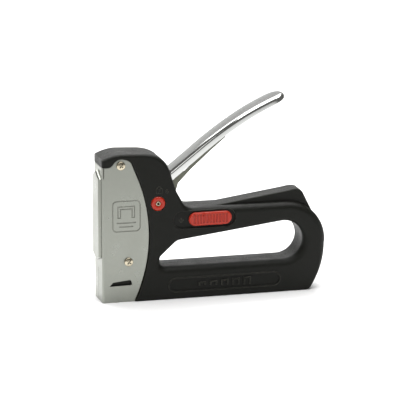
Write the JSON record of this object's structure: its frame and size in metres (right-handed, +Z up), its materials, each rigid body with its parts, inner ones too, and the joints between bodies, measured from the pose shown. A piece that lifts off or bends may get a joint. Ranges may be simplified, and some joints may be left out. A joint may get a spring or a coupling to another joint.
{
  "type": "staple gun",
  "caption": "Hand staple gun with a closed-loop plastic grip, folded steel nose, chromed squeeze lever, lever lock, power slider and a rear-loading magazine drawer.",
  "frame": {"origin": "middle of the base, on the surface the tool stands on", "axes": "+X from the nose to the back of the handle, +Z up, the left side with the power slider faces -Y"},
  "size_m": [0.1812, 0.03, 0.1566],
  "materials": {
    "black_plastic": "fine satin texture",
    "zinc_steel": "satin zinc plate",
    "chrome": "polished",
    "dull_zinc": "dull zinc plate",
    "nickel": "warm nickel plate",
    "red_plastic": "semi-gloss",
    "spring_steel": "oiled",
    "rubber": "matte"
  },
  "bodies": {
    "housing": {"housing_left": "black_plastic", "housing_right": "black_plastic", "housing_screw_1": "spring_steel", "housing_screw_2": "spring_steel", "housing_screw_3": "spring_steel", "housing_screw_4": "spring_steel", "nose_cover": "zinc_steel", "nose_screw_upper_left": "nickel", "nose_screw_upper_right": "nickel", "nose_screw_lower_left": "nickel", "nose_screw_lower_right": "nickel", "driver_guide": "zinc_steel", "driver_bumper": "rubber", "main_spring": "spring_steel", "spring_seat": "zinc_steel", "lever_pivot_pin": "spring_steel", "lever_return_spring": "spring_steel", "magazine_channel": "zinc_steel", "staple_strip": "nickel"},
    "lever": {"lever_cover": "chrome", "lever_arm_left": "dull_zinc", "lever_arm_right": "dull_zinc", "lever_rivet_1": "dull_zinc", "lever_rivet_2": "dull_zinc"},
    "driver": {"driver_blade": "spring_steel", "driver_block": "dull_zinc"},
    "lock": {"lock_pin": "dull_zinc", "lock_button_left": "red_plastic", "lock_button_right": "red_plastic"},
    "power": {"power_slider": "red_plastic", "slider_carrier": "black_plastic"},
    "magazine": {"magazine_rail": "zinc_steel", "magazine_cap": "black_plastic", "pusher_rod": "nickel", "pusher_spring": "spring_steel"},
    "follower": {"pusher": "red_plastic"}
  },
  "joints": [
    {"name": "lever_squeeze", "type": "hinge", "parent": "housing", "child": "lever", "pos_m": [-0.04835, 0, 0.092], "axis": [0, 1, 0], "range_deg": [0, 35.5], "stiffness_Nm_per_rad": 4.9, "springref_deg": -8.02, "deforming": ["lever_return_spring"]},
    {"name": "driver_lift", "type": "slide", "parent": "housing", "child": "driver", "axis": [0, 0, 1], "range_m": [0, 0.0177], "deforming": ["main_spring"]},
    {"name": "lock_push", "type": "slide", "parent": "housing", "child": "lock", "axis": [0, 1, 0], "range_m": [0, 0.003]},
    {"name": "power_slide", "type": "slide", "parent": "housing", "child": "power", "axis": [-1, 0, 0], "range_m": [0, 0.0095]},
    {"name": "magazine_pull", "type": "slide", "parent": "housing", "child": "magazine", "axis": [1, 0, 0], "range_m": [0, 0.085]},
    {"name": "pusher_slide", "type": "slide", "parent": "magazine", "child": "follower", "axis": [1, 0, 0], "range_m": [0, 0.04], "stiffness_N_per_m": 40, "springref_m": -0.03, "deforming": ["pusher_spring"]}
  ],
  "couplings": [
    {"joint": "driver_lift", "follows": "lever_squeeze", "m_per_rad": 0.028538}
  ]
}
